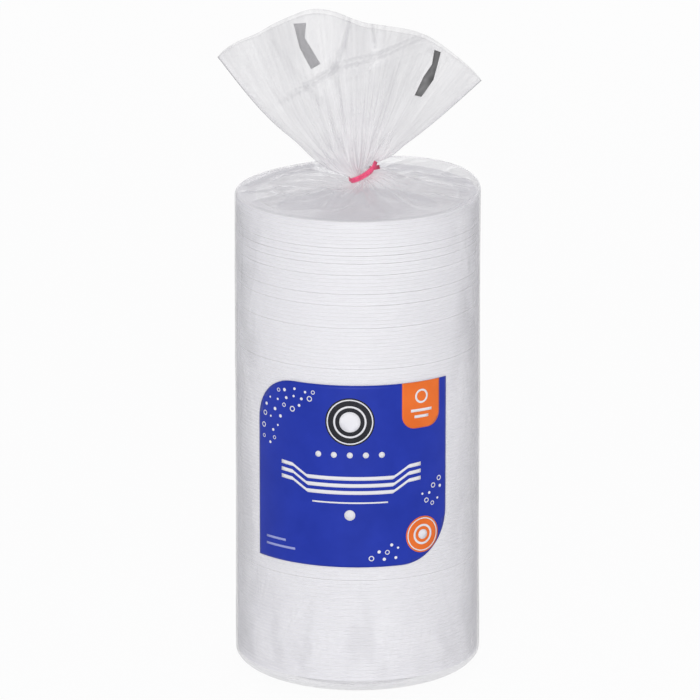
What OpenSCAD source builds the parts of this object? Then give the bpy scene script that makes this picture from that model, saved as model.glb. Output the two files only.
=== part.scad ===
// A sleeve of nested foam plates in a clear film bag. The bag's neck is gathered over the top
// plate and closed with a twist tie, its tail fans out above, and a label wraps the front.
// Millimetres. The origin is the middle of the bag's foot, +Z is up, and the label faces -Y.

/* [Plates] */
// Number of plates in the sleeve
plate_count = 125; // [80:1:150]
// Outside diameter of one plate
plate_d = 152.4; // [130:0.1:260]
// Diameter of the flat base, at its underside
plate_base_d = 104; // [70:0.5:110]
// Height of the rim's highest line over the base, both at the underside
plate_h = 11; // [8:0.1:13]
// Slope of the side wall from the horizontal, in degrees
plate_wall_angle = 42; // [38:1:55]
// Width of the rim, from the side wall to the edge
plate_rim_w = 13.6; // [9:0.1:14]
// Rise of the rim from the side wall to its highest line
plate_rim_rise = 2; // [0.5:0.1:3]
// Drop of the edge below the rim's highest line
plate_lip_drop = 0.35; // [0.1:0.05:0.8]
// Width of the turned-down lip at the edge
plate_lip_w = 1.8; // [1.5:0.1:3]
// Radius of the edge's two corners
plate_edge_round = 0.3; // [0.2:0.05:0.6]
// Radius where the base turns into the side wall
plate_base_fillet = 7; // [3:0.5:10]
// Radius where the side wall turns into the rim
plate_rim_fillet = 6; // [3:0.5:8]
// Thickness of the foam, measured upright, so that plates nest at an even pitch
foam_t = 2.3; // [1.5:0.05:3]
// Upright clearance between two nested plates
nest_gap = 0.06; // [0.05:0.01:0.5]
// Extra clearance where a plate sits proud of the one below it
loose_gap = 0.3; // [0:0.05:0.8]

/* [Bag] */
// Thickness of the film
film_t = 0.2; // [0.1:0.05:0.4]
// Clearance between the plates' edges and the film
bag_gap = 0.6; // [0.3:0.1:2]
// How far the film rounds in from the wall to the foot
foot_run = 22; // [10:1:26]
// Radius of the film's rounding over the top plate's edge
shoulder_round = 2; // [1:0.5:2.5]
// Clearance between the top plate's rim and the film over it
shoulder_gap = 0.3; // [0.2:0.1:1]
// Extra height of the shoulder where the film stands off the rim, at the back right
shoulder_puff = 6; // [0:0.5:10]
// Height of the twist tie's middle over the top plate's rim
neck_rise = 11; // [9:0.5:20]
// Offset of the neck to the right of the middle
neck_offset = 2.2; // [-8:0.2:8]
// Diameter over the gathered neck
neck_d = 15; // [11:0.5:18]
// Length of the gathered neck
neck_len = 6; // [5:0.5:12]
// Tilt of the neck and its tie to the left, in degrees
neck_tilt = 28; // [0:1:32]
// Number of pleats gathered in the neck
pleat_count = 20; // [12:1:24]
// Depth of the pleats where they run over the top plate
pleat_depth = 3; // [0:0.1:4]

/* [Tail] */
// Length of the tail from the neck to the mouth, in its right half
tail_len = 93; // [60:1:140]
// Angle of the right edge from the horizontal, in degrees
tail_right = 36; // [30:1:60]
// Angle of the left edge from the horizontal, in degrees
tail_left = 141; // [115:1:146]
// How far the right edge bows out from its ray
bow_right = 7; // [0:0.5:12]
// How far the left edge bows out from its ray
bow_left = 17; // [0:0.5:20]
// Gap between the two layers of film at the mouth
mouth_gap = 13; // [4:0.5:30]
// Depth of the waves in the tail
tail_wave = 7; // [0:0.5:12]
// Lean of the tail towards the back, in degrees
tail_lean = 4; // [-10:1:15]

/* [Twist tie] */
// Width of the tie's ribbon
tie_w = 3.2; // [2.5:0.1:4]
// Thickness over the wire in the ribbon's middle
tie_t = 1; // [0.6:0.05:1.5]
// Clearance between the neck's pleats and the tie
tie_gap = 0.15; // [0.05:0.05:0.6]
// Length of the two ends twisted together
twist_len = 9; // [6:0.5:16]
// Turns in the twisted ends
twist_turns = 1.5; // [0.5:0.25:3]
// Length of the two free tips past the twist
tip_len = 4; // [2:0.5:8]

/* [Label] */
// Width of the label along the bag's wall
label_w = 132; // [112:1:150]
// Height of the label
label_h = 118; // [100:1:130]
// Height of the label's lower edge over the foot
label_z = 86; // [40:1:140]
// Turn of the label's middle from the front, to the left, in degrees
label_turn = 3.6; // [0:0.1:20]
// Radius of the label's upper left corner
label_corner = 29; // [5:1:45]
// Radius of the label's lower right corner
label_sweep = 33; // [5:1:45]
// Thickness of the label
label_t = 0.15; // [0.1:0.01:0.5]
// Clearance between the film and the label, and between the label and its printed fields
print_gap = 0.05; // [0.02:0.01:0.2]
// Thickness of the printed fields
print_t = 0.1; // [0.05:0.01:0.3]
// Radius of the round field with the plate emblem
emblem_r = 15.5; // [8:0.5:20]
// Width of the tab that hangs from the label's top edge
tab_w = 27; // [10:1:30]
// Length of that tab
tab_h = 30; // [10:1:35]
// Radius of the round field near the lower right corner
spot_r = 11.8; // [6:0.1:14]
// Width of the nested plates in the pictogram under the emblem
picto_w = 92; // [60:1:100]
// Clearance between the tail's film and the two bars printed on it
bar_gap = 0.3; // [0.2:0.05:0.6]

/* [Hidden] */
eps = 0.01;
$fn = 96;

// Both sides of the two bars on the tail, at places along them from low to high. Each place holds
// the left side and the right side, as [share of the way to the left edge, share of the length].
back_bar = [[[0.706, 0.63], [0.664, 0.654]], [[0.734, 0.784], [0.7, 0.8]],
            [[0.738, 0.946], [0.694, 0.922]]];
front_bar = [[[0.206, 0.62], [0.168, 0.632]], [[0.208, 0.76], [0.16, 0.78]],
             [[0.198, 0.866], [0.173, 0.87]], [[0.214, 0.96], [0.188, 0.97]]];

// Plates that sit proud of the one below, counted from the top of the sleeve
loose_seams = [7, 9, 11, 14, 19, 22, 28, 39, 97];
group_size = 5;
group_count = ceil(plate_count / group_size);

plate_r = plate_d / 2;
nest_pitch = foam_t + nest_gap;
edge_r = plate_r - plate_edge_round;
wall_top_r = plate_r - plate_rim_w;
wall_top_z = plate_h - plate_rim_rise;
base_r = min(plate_base_d / 2, wall_top_r - wall_top_z / tan(plate_wall_angle));
plate_top = plate_h + foam_t;
top_plate_z = plate_z(plate_count);
rim_top = top_plate_z + plate_top;

bag_r = plate_r + bag_gap + film_t;
foot_r = bag_r - foot_run;
foot_h = plate_h;
shoulder_r = bag_r - shoulder_round;
shoulder_z = rim_top + shoulder_gap + film_t - shoulder_round;
neck_r = neck_d / 2;
valley_r = 2;
neck_z = rim_top + neck_rise;
neck_out = sin(neck_tilt) * neck_len / 2;
neck_up = cos(neck_tilt) * neck_len / 2;
around = 4 * pleat_count;

label_r = bag_r + print_gap;
print_r = label_r + label_t + print_gap;
label_foot = min(label_z, shoulder_z - label_h - 5);
emblem_y = label_h / 2 - emblem_r - 8;
title_y = emblem_y - emblem_r - 13;
spot_inset = max(spot_r + 1, label_sweep - (label_sweep - spot_r - 0.5) * sqrt(0.5));

function group_name(g) =
    str("plates_", 1 + (g - 1) * group_size, "_to_", min(g * group_size, plate_count));

GROUPS = [for (g = [1 : group_count]) group_name(g)];

// Height of plate i over the bag's foot. Plate 1 rests on the film.
function plate_z(i) =
    film_t + (i - 1) * nest_pitch
    + loose_gap * len([for (s = loose_seams) if (s > plate_count - i && s < plate_count) s]);

// Smooth step from 0 at a to 1 at b
function ease(x, a, b) = let (t = max(0, min(1, (x - a) / (b - a)))) t * t * (3 - 2 * t);

// Points of an arc of radius r that rounds the corner p between a and b, in n steps
function rounded(a, p, b, r, n) =
    let (
        u = (a - p) / norm(a - p),
        v = (b - p) / norm(b - p),
        half = acos(u * v) / 2,
        middle = (u + v) / norm(u + v),
        centre = p + middle * r / sin(half),
        start = p + u * r / tan(half) - centre,
        end = p + v * r / tan(half) - centre,
        turn = 180 - 2 * half,
        side = sign(start[0] * end[1] - start[1] * end[0])
    )
    [for (k = [0 : n]) let (w = side * turn * k / n)
        centre + [start[0] * cos(w) - start[1] * sin(w), start[0] * sin(w) + start[1] * cos(w)]];

// Underside of a plate from the middle to the edge
function plate_underside() =
    let (
        middle = [0, 0],
        knee = [base_r, 0],
        shoulder = [wall_top_r, wall_top_z],
        crest = [plate_r - plate_lip_w, plate_h],
        lip = [edge_r, plate_h - plate_lip_drop]
    )
    concat(
        [middle],
        rounded(middle, knee, shoulder, plate_base_fillet, 3),
        rounded(knee, shoulder, crest, plate_rim_fillet, 3),
        rounded(shoulder, crest, lip, foam_t, 2),
        [lip]
    );

module plate() {
    under = plate_underside();
    n = len(under);
    lip = under[n - 1];
    low_corner = [for (w = [30, 60, 90]) lip + plate_edge_round * [sin(w), 1 - cos(w)]];
    high_corner = [for (w = [90, 60, 30]) lip + [0, foam_t] + plate_edge_round * [sin(w), cos(w) - 1]];
    top = [for (k = [n - 1 : -1 : 0]) under[k] + [0, foam_t]];
    color("white")
        rotate_extrude()
            polygon(concat(under, low_corner, high_corner, top));
}

module plate_group(g) {
    for (i = [1 + (g - 1) * group_size : min(g * group_size, plate_count)])
        translate([0, 0, plate_z(i)])
            plate();
}

// Share of a pleat's depth at the angle a round the bag: 0 on a crest, 1 in a valley
function valley(a) = (1 - cos(pleat_count * a)) / 2;

// Extra height of the shoulder at the angle a
function puff(a) = shoulder_puff * pow((1 + cos(a - 40)) / 2, 4);

// Radius of the gathered neck at the angle a. t is the film's thickness on the inside and 0 on
// the outside. Inside a pleat the two layers of film lie together.
function star_r(a, t) =
    neck_r - (neck_r - valley_r) * valley(a)
    - (t > 0 ? t + 0.6 * (neck_r - valley_r) * (1 - valley(a)) : 0);

// Each of the next functions gives one ring of points round the bag, for the outside of the film
// with t = 0 and for the inside with t = film_t.
function foot_ring(k, t) =
    let (w = 90 * k, r = foot_r + (foot_run - t) * sin(w), z = foot_h - (foot_h - t) * cos(w))
    [for (j = [0 : around - 1]) let (a = 360 * j / around) [r * cos(a), r * sin(a), z]];

function shoulder_ring(k, t) =
    let (w = 90 * k, r = shoulder_r + (shoulder_round - t) * cos(w))
    [for (j = [0 : around - 1]) let (a = 360 * j / around)
        [r * cos(a), r * sin(a), shoulder_z + puff(a) + (shoulder_round - t) * sin(w)]];

// From the shoulder at s = 0 to the foot of the neck at s = 1
function top_ring(s, t) =
    let (gather = ease(s, 0.7, 1), tilt = neck_tilt * gather)
    [for (j = [0 : around - 1])
        let (
            a = 360 * j / around,
            plain = shoulder_r + (neck_r - shoulder_r) * s,
            r = plain - (neck_r - star_r(a, t)) * gather,
            start_z = shoulder_z + shoulder_round + puff(a),
            end_z = neck_z - neck_up,
            z = start_z + (end_z - start_z) * pow(s, 1.6)
                - pleat_depth * valley(a) * s * (1 - gather) - t * (1 - gather)
        )
        [r * cos(a) * cos(tilt) + (neck_offset + neck_out) * s, r * sin(a),
         z + r * cos(a) * sin(tilt)]];

// Length of the tail's ray at the share s of the way from its right edge to its left edge
function ray_len(s) =
    tail_len * (1.02 - 0.02 * ease(s, 0, 0.2) + 0.13 * ease(s, 0.48, 0.7)
                + 0.09 * ease(s, 0.85, 1));

// Waves that both layers of the tail share, towards the back
function wave(s, q) =
    tail_wave * q * (0.7 * sin(504 * s + 30) + 0.45 * q * sin(1116 * s + 160));

// A point of the tail at the angle a round it, from the head of the neck at q = 0 to the mouth at
// q = 1. out moves it off the film, away from the other layer.
function tail_point(a, q, t, out = 0) =
    let (
        flat = ease(q, 0, 0.3),
        tilt = neck_tilt * (1 - flat),
        bow = sin(180 * pow(q, 0.6)),
        s = a <= 180 ? a / 180 : 2 - a / 180,
        side = a <= 180 ? 1 : -1,
        ray = tail_right + (tail_left - tail_right) * s,
        len = q * ray_len(s),
        star = star_r(a, t) * (1 - flat),
        swell = mouth_gap / 2 * (1 + 0.4 * sin(180 * q)),
        half = (swell - t * 1.5) * pow(abs(sin(a)), 0.6) + out,
        pleat = (1 - q) * pleat_depth * (valley(a) - 0.5) * abs(sin(a)),
        bowed = bow * cos(a) * (cos(a) > 0 ? bow_right : bow_left),
        x = star * cos(a) * cos(tilt) + len * cos(ray) + bowed - t * flat * cos(a),
        y = star * sin(a) + flat * (side * (half - pleat) + wave(s, q)),
        z = len * sin(ray)
    )
    [neck_offset - neck_out + x, y + z * tan(tail_lean) * q,
     neck_z + neck_up + z + star * cos(a) * sin(tilt)];

function tail_ring(q, t) = [for (j = [0 : around - 1]) tail_point(360 * j / around, q, t)];

// The film from the foot to the mouth
function bag_rings(t) = concat(
    [for (k = [0 : 4]) foot_ring(k / 4, t)],
    [for (k = [0 : 3]) shoulder_ring(k / 3, t)],
    [for (s = [0.12, 0.25, 0.4, 0.55, 0.7, 0.8, 0.88, 0.95, 1]) top_ring(s, t)],
    [for (q = [0, 0.05, 0.1, 0.16, 0.23, 0.31, 0.42, 0.54, 0.68, 0.84, 1]) tail_ring(q, t)]
);

// A closed skin through rings of equal length, with a flat cap on the first and on the last
module loft(rings) {
    n = len(rings[0]);
    m = len(rings);
    points = [for (ring = rings) each ring];
    walls = [for (i = [0 : m - 2], j = [0 : n - 1])
        let (a = i * n + j, b = i * n + (j + 1) % n)
        each [[a, a + n, b], [b, a + n, b + n]]];
    first = [for (j = [0 : n - 1]) j];
    last = [for (j = [n - 1 : -1 : 0]) (m - 1) * n + j];
    polyhedron(points, concat([first], walls, [last]), convexity = 12);
}

module bag() {
    outside = bag_rings(0);
    inside = bag_rings(film_t);
    back_down = [for (i = [len(inside) - 1 : -1 : 0]) inside[i]];
    color("white", 0.3)
        loft(concat(outside, back_down));
}

// A ribbon's cross-section: flat, with its wire as a low ridge on the outside
module ribbon_section() {
    polygon([[-tie_w / 2, 0], [tie_w / 2, 0], [tie_w / 2, tie_t / 2], [tie_t / 2, tie_t / 2],
             [tie_t / 4, tie_t], [-tie_t / 4, tie_t], [-tie_t / 2, tie_t / 2],
             [-tie_w / 2, tie_t / 2]]);
}

module tie_loop() {
    rotate_extrude($fn = 48)
        translate([neck_r + tie_gap, 0])
            rotate(-90)
                ribbon_section();
}

// The two ends of the ribbon twisted together, with their tips spread
module twisted_ends() {
    linear_extrude(twist_len, twist = 360 * twist_turns, slices = 20, $fn = 8)
        square([tie_w * 0.8, tie_t * 1.6], center = true);
    for (turn = [-24, 24])
        translate([0, 0, twist_len - tie_t])
            rotate([0, turn, 0])
                translate([-tie_w * 0.4, -tie_t / 4, 0])
                    cube([tie_w * 0.8, tie_t / 2, tip_len + tie_t]);
}

module twist_tie() {
    color("crimson")
        translate([neck_offset, 0, neck_z])
            rotate([0, -neck_tilt, 0]) {
                tie_loop();
                rotate([0, 0, -68])
                    translate([neck_r + tie_gap + tie_t * 0.6, 0, 0])
                        rotate([-38, 68, 0])
                            twisted_ends();
            }
}

// Points of a flat outline, given as [along the wall, up] from the label's middle, laid onto
// the bag's wall as seen from the front
function on_wall(points) =
    [for (p = points) [bag_r * sin(p[0] / bag_r * 180 / PI), p[1] + label_foot + label_h / 2]];

// The solid of a flat outline laid on the wall, from radius r outwards by thickness t
module wall_patch(points, r, t) {
    rotate([0, 0, -label_turn])
        intersection() {
            difference() {
                cylinder(r = r + t, h = shoulder_z);
                translate([0, 0, -eps])
                    cylinder(r = r, h = shoulder_z + 2 * eps);
            }
            rotate([90, 0, 0])
                linear_extrude(2 * bag_r)
                    polygon(on_wall(points));
        }
}

function disc(x, y, r, n = 32) =
    [for (k = [0 : n - 1]) [x + r * cos(k * 360 / n), y + r * sin(k * 360 / n)]];

function bar(x, y, w, h) =
    [[x - w / 2, y - h / 2], [x + w / 2, y - h / 2], [x + w / 2, y + h / 2], [x - w / 2, y + h / 2]];

function label_outline() =
    let (x = label_w / 2, y = label_h / 2)
    concat(
        rounded([-x, -y], [-x, y], [x, y], label_corner, 10),
        [[x, y]],
        rounded([x, y], [x, -y], [-x, -y], label_sweep, 12),
        [[-x, -y]]
    );

// A tab with a rounded end, hanging from the label's top edge
function tab_outline() =
    let (
        right = label_w / 2 - 6,
        left = right - tab_w,
        top = label_h / 2,
        low = top - tab_h,
        corner = tab_w / 3
    )
    concat(
        [[right, top], [left, top]],
        rounded([left, top], [left, low], [right, low], corner, 6),
        rounded([left, low], [right, low], [right, top], corner, 6)
    );

// The side of a shallow plate drawn as a line: rim, wall, base, wall and rim
function plate_mark(y) =
    let (w = picto_w / 2, deep = 7, thick = 2.4)
    [[-w, y], [8 - w, y - 0.8], [18 - w, y - deep], [w - 18, y - deep], [w - 8, y - 0.8], [w, y],
     [w, y - thick], [w - 9, y - 0.8 - thick], [w - 19, y - deep - thick],
     [19 - w, y - deep - thick], [9 - w, y - 0.8 - thick], [-w, y - thick]];

module front_label() {
    color("royalblue")
        wall_patch(label_outline(), label_r, label_t);
}

module label_accents() {
    color("darkorange") {
        wall_patch(tab_outline(), print_r, print_t);
        wall_patch(disc(label_w / 2 - spot_inset, spot_inset - label_h / 2, spot_r),
                   print_r, print_t);
    }
}

module label_emblem() {
    color("black")
        wall_patch(disc(0, emblem_y, emblem_r), print_r, print_t);
}

// Three nested plates from the side, with a row of dots over them and a thin rule under them
module label_pictogram() {
    color("white") {
        for (k = [0 : 2])
            wall_patch(plate_mark(title_y - 4.6 * k), print_r, print_t);
        for (k = [-2 : 2])
            wall_patch(disc(10 * k, title_y + 7, 1.9, 16), print_r, print_t);
        wall_patch(bar(0, title_y - 24, 48, 1), print_r, print_t);
        wall_patch(disc(0, title_y - 32, 3.4, 24), print_r, print_t);
    }
}

// A bar printed on the tail, on its back layer with side = 1 and on its front layer with -1
module tail_bar(places, side) {
    function on_film(p, out) = tail_point(side > 0 ? 180 * p[0] : 360 - 180 * p[0], p[1], 0, out);
    function line(left, right, out) = [for (v = [0 : 0.5 : 1]) on_film(left + (right - left) * v, out)];
    function turned(points) = [for (k = [len(points) - 1 : -1 : 0]) points[k]];
    stations = [for (i = [0 : len(places) - 2], u = [0 : 0.25 : (i < len(places) - 2 ? 0.75 : 1)])
        places[i] + (places[i + 1] - places[i]) * u];
    near = side > 0 ? bar_gap : bar_gap + print_t;
    far = side > 0 ? bar_gap + print_t : bar_gap;
    color("gray")
        loft([for (p = stations) concat(line(p[0], p[1], near), turned(line(p[0], p[1], far)))]);
}

module tail_bar_back() {
    tail_bar(back_bar, 1);
}

module tail_bar_front() {
    tail_bar(front_bar, -1);
}

for (g = [1 : group_count])
    plate_group(g);
bag();
twist_tie();
front_label();
label_accents();
label_emblem();
label_pictogram();
tail_bar_back();
tail_bar_front();
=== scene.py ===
"""Dresses the bagged stack of foam plates: its clear film, its twist tie, the printed label and
the bars on the tail. Sizes are in millimetres, as in the part's source, and points become
metres where a mesh is made. The label faces -Y and +Z is up."""

import math

import bpy
import numpy as np
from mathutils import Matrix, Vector
from mathutils.bvhtree import BVHTree
from mathutils.geometry import delaunay_2d_cdt


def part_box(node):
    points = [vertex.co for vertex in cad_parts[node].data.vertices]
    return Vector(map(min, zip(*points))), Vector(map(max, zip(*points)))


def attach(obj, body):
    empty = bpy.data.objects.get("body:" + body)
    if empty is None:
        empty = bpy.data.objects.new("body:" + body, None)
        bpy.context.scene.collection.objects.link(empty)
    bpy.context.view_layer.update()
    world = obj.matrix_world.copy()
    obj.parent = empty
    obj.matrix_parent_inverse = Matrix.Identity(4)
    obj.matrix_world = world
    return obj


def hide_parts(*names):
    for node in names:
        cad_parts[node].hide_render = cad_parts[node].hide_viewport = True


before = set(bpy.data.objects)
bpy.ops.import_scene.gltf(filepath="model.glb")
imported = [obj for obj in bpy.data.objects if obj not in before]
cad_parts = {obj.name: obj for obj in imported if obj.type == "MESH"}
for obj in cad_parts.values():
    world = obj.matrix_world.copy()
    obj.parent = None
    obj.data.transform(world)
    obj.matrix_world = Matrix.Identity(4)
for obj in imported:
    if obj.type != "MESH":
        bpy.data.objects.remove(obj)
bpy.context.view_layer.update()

MM = 0.001

# The same sizes as in the part's source, apart from the rim's height, which is read from the top
# plates in model.glb.
PLATE_R = 76.2
PLATE_H = 11.0
FILM_T = 0.2
BAG_R = PLATE_R + 0.6 + FILM_T
FOOT_RUN = 22.0
FOOT_R = BAG_R - FOOT_RUN
SHOULDER_ROUND = 2.0
SHOULDER_R = BAG_R - SHOULDER_ROUND
SHOULDER_PUFF = 6.0
RIM_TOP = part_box("plates_121_to_125")[1].z / MM
SHOULDER_Z = RIM_TOP + 0.3 + FILM_T - SHOULDER_ROUND
NECK_OFFSET = 2.2
NECK_R = 7.5
VALLEY_R = 2.0
NECK_LEN = 6.0
NECK_TILT = math.radians(28)
NECK_Z = RIM_TOP + 11.0
NECK_OUT = math.sin(NECK_TILT) * NECK_LEN / 2
NECK_UP = math.cos(NECK_TILT) * NECK_LEN / 2
PLEATS = 20
PLEAT_DEPTH = 3.0
TAIL_LEN = 93.0
TAIL_RIGHT = math.radians(36)
TAIL_LEFT = math.radians(141)
BOW_RIGHT = 7.0
BOW_LEFT = 17.0
MOUTH_GAP = 13.0
TAIL_WAVE = 7.0
TAIL_LEAN = math.radians(4)
LABEL_W = 132.0
LABEL_H = 118.0
LABEL_FOOT = 86.0
LABEL_TURN = math.radians(3.6)
LABEL_CORNER = 29.0
LABEL_SWEEP = 33.0
EMBLEM_R = 15.5
EMBLEM_Y = LABEL_H / 2 - EMBLEM_R - 8
TITLE_Y = EMBLEM_Y - EMBLEM_R - 13
TAB_W = 27.0
TAB_H = 30.0
SPOT_R = 11.8
SPOT_INSET = max(SPOT_R + 1, LABEL_SWEEP - (LABEL_SWEEP - SPOT_R - 0.5) * math.sqrt(0.5))
PICTO_W = 92.0

# The film's points round the bag, and the thickness of its mesh.
AROUND = 288
SKIN = 0.12

# How far each print stands off the film or the print under it, and how thick it is.
LABEL_LAY = (0.08, 0.05)
PRINT_LAY = (0.16, 0.04)
FINE_LAY = (0.23, 0.03)
TAIL_LAY = (0.08, 0.04)


# Shapes of the film


def ease(x, low, high):
    """Smooth step from 0 at low to 1 at high."""
    t = np.clip((x - low) / (high - low), 0.0, 1.0)
    return t * t * (3 - 2 * t)


def valley(a):
    """Share of a pleat's depth at the angle a: 0 on a crest, 1 in a valley."""
    return (1 - np.cos(PLEATS * a)) / 2


def puff(a):
    """Extra height of the shoulder, where the film stands off the top rim."""
    return SHOULDER_PUFF * ((1 + np.cos(a - math.radians(40))) / 2) ** 4


def star_r(a):
    """Radius of the gathered neck."""
    return NECK_R - (NECK_R - VALLEY_R) * valley(a)


def stack(x, y, z):
    """Points as rows from three arrays or numbers."""
    return np.stack(np.broadcast_arrays(x, y, z), axis=-1).astype(float)


# Folds of the film on the wall, each from one point (arc, height) to another, with a height and
# a width. The arc is measured from the front, to the right.
WALL_FOLDS = [
    ((-68.5, 299), (-86.7, 228), 0.34, 2.6),
    ((-90.0, 302), (-95.0, 236), 0.4, 2.4),
    ((-101.0, 226), (-86.0, 186), 0.4, 2.4),
    ((-104.0, 206), (-88.0, 164), 0.35, 2.2),
    ((-98.0, 150), (-90.0, 96), 0.3, 2.4),
    ((77.0, 292), (99.0, 228), 0.34, 2.4),
    ((88.0, 246), (102.0, 214), 0.45, 1.9),
    ((82.0, 200), (96.0, 150), 0.3, 2.3),
    ((-25.0, 70), (-36.0, 50), 0.4, 2.8),
    ((-36.0, 50), (-17.0, 27), 0.4, 2.6),
    ((35.0, 48), (48.0, 30), 0.38, 2.4),
    ((56.0, 78), (66.0, 46), 0.3, 2.4),
    ((-62.0, 76), (-74.0, 40), 0.35, 2.6),
]


def make_random_folds():
    """Seeded folds: long ones on the wall, and short ones spread over the shoulder's dome."""
    chance = np.random.default_rng(11)
    wall = []
    for _ in range(70):
        arc = chance.uniform(-math.pi, math.pi) * BAG_R
        z = chance.uniform(14, SHOULDER_Z - 20)
        run = chance.uniform(16, 60)
        lean = chance.normal(0, 0.22)
        calm = 0.35 if abs(arc) < 62 and z > 80 else 1.0
        height = calm * chance.uniform(0.12, 0.38)
        wall.append(((arc, z), (arc + run * lean, z + run), height, chance.uniform(1.6, 2.8)))
    dome = []
    for _ in range(34):
        a = chance.uniform(0, 2 * math.pi)
        r = chance.uniform(20, 64)
        run = chance.uniform(10, 28)
        turn = a + chance.normal(0, 0.7)
        start = (r * math.cos(a), r * math.sin(a))
        end = (start[0] + run * math.cos(turn), start[1] + run * math.sin(turn))
        dome.append(([start, end], chance.uniform(-0.5, 0.9), chance.uniform(2.2, 4.2)))
    return wall, dome


RANDOM_WALL_FOLDS, RANDOM_DOME_FOLDS = make_random_folds()

# Folds over the top plate, as lines of (x, y) with a height and a width.
DOME_FOLDS = [
    ([(-70.0, 14.0), (-52.0, 40.0), (-30.0, 58.0)], 1.6, 3.0),
    ([(-52.0, 20.0), (-44.0, 34.0), (-28.0, 38.0)], 1.4, 2.6),
    ([(-50.0, 6.0), (-53.0, -10.0), (-46.0, -22.0)], 1.3, 2.6),
    ([(-72.0, -4.0), (-42.0, 2.0)], 1.0, 2.6),
    ([(-62.0, -26.0), (-36.0, -14.0)], 0.8, 2.6),
    ([(22.0, 8.0), (42.0, -4.0), (68.0, -12.0)], 1.6, 2.8),
    ([(36.0, 22.0), (54.0, 10.0), (70.0, 8.0)], 1.4, 2.8),
    ([(40.0, -20.0), (66.0, -30.0)], 1.0, 2.6),
    ([(-14.0, -22.0), (-20.0, -46.0)], 0.9, 3.0),
    ([(6.0, -24.0), (6.0, -50.0)], 0.9, 3.0),
    ([(22.0, -20.0), (30.0, -40.0)], 0.9, 2.8),
    ([(-20.0, 30.0), (-30.0, 62.0)], 0.9, 2.6),
    ([(20.0, 34.0), (34.0, 60.0)], 1.2, 2.8),
]


def label_share(arc, z):
    """1 under the label and 0 a little way off it, for arc and z on the wall."""
    middle = -LABEL_TURN * BAG_R
    across = 1 - ease(np.abs(arc - middle), LABEL_W / 2, LABEL_W / 2 + 8)
    up = 1 - ease(np.abs(z - LABEL_FOOT - LABEL_H / 2), LABEL_H / 2, LABEL_H / 2 + 8)
    return across * up


def wall_swell(a, z):
    """How far the film stands out from the plain wall, in soft wrinkles and folds."""
    around = (np.asarray(a) + math.pi / 2 + math.pi) % (2 * math.pi) - math.pi
    arc = around * BAG_R
    near_foot = 1 - ease(z, 20, 90)
    side = ease(np.abs(around), 0.9, 1.4)
    soft = 0.03 + 0.12 * near_foot + 0.07 * side
    ripple = (
        np.sin(9 * around + 0.9 * np.sin(z / 31) + 0.4)
        + 0.7 * np.sin(17 * around - 0.7 * np.sin(z / 23) + 2.1)
        + 0.5 * np.sin(29 * around + z / 24)
    )
    swell = soft * (1.3 + ripple)
    folds = np.zeros(np.broadcast(arc, z).shape)
    for (arc_a, z_a), (arc_b, z_b), height, width in WALL_FOLDS + RANDOM_WALL_FOLDS:
        middle = (arc_a + arc_b) / 2
        near = (arc - middle + math.pi * BAG_R) % (2 * math.pi * BAG_R) - math.pi * BAG_R + middle
        length = (arc_b - arc_a) ** 2 + (z_b - z_a) ** 2
        t = ((near - arc_a) * (arc_b - arc_a) + (z - z_a) * (z_b - z_a)) / length
        t = np.clip(t, 0, 1)
        gap = np.hypot(near - arc_a - t * (arc_b - arc_a), z - z_a - t * (z_b - z_a))
        fade = np.sin(math.pi * np.clip(0.04 + 0.92 * t, 0, 1)) ** 0.6
        folds = folds + height * fade * np.exp(-((gap / width) ** 2))
    covered = label_share(arc, z)
    near_top = 1 - ease(SHOULDER_Z - z, 2, 14)
    free = (1 - covered) * (1 - near_top)
    return np.maximum(swell * (1 - 0.8 * covered) + folds * free, 0.02)


def foot_ring(k, a):
    """From the flat foot at k = 0 to the foot of the wall at k = 1."""
    w = k * math.pi / 2
    swell = wall_swell(a, PLATE_H + 0 * a) * ease(k, 0.5, 1)
    r = FOOT_R + (FOOT_RUN + swell) * math.sin(w)
    z = PLATE_H - PLATE_H * math.cos(w)
    return stack(r * np.cos(a), r * np.sin(a), z)


def wall_ring(z, a):
    r = BAG_R + wall_swell(a, z + 0 * a)
    return stack(r * np.cos(a), r * np.sin(a), z)


def shoulder_ring(k, a):
    w = k * math.pi / 2
    swell = wall_swell(a, SHOULDER_Z + 0 * a) * (1 - k)
    r = SHOULDER_R + (SHOULDER_ROUND + swell) * math.cos(w)
    z = SHOULDER_Z + puff(a) + SHOULDER_ROUND * math.sin(w)
    return stack(r * np.cos(a), r * np.sin(a), z)


def line_ridge(x, z, line, width):
    """1 on a bent line through points (x, z), falling off within the width."""
    near = np.full(np.shape(x), 1e9)
    for (x0, z0), (x1, z1) in zip(line, line[1:]):
        length = (x1 - x0) ** 2 + (z1 - z0) ** 2
        t = np.clip(((x - x0) * (x1 - x0) + (z - z0) * (z1 - z0)) / length, 0, 1)
        gap = np.hypot(x - x0 - t * (x1 - x0), z - z0 - t * (z1 - z0))
        near = np.minimum(near, gap)
    return np.exp(-((near / width) ** 2))


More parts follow.
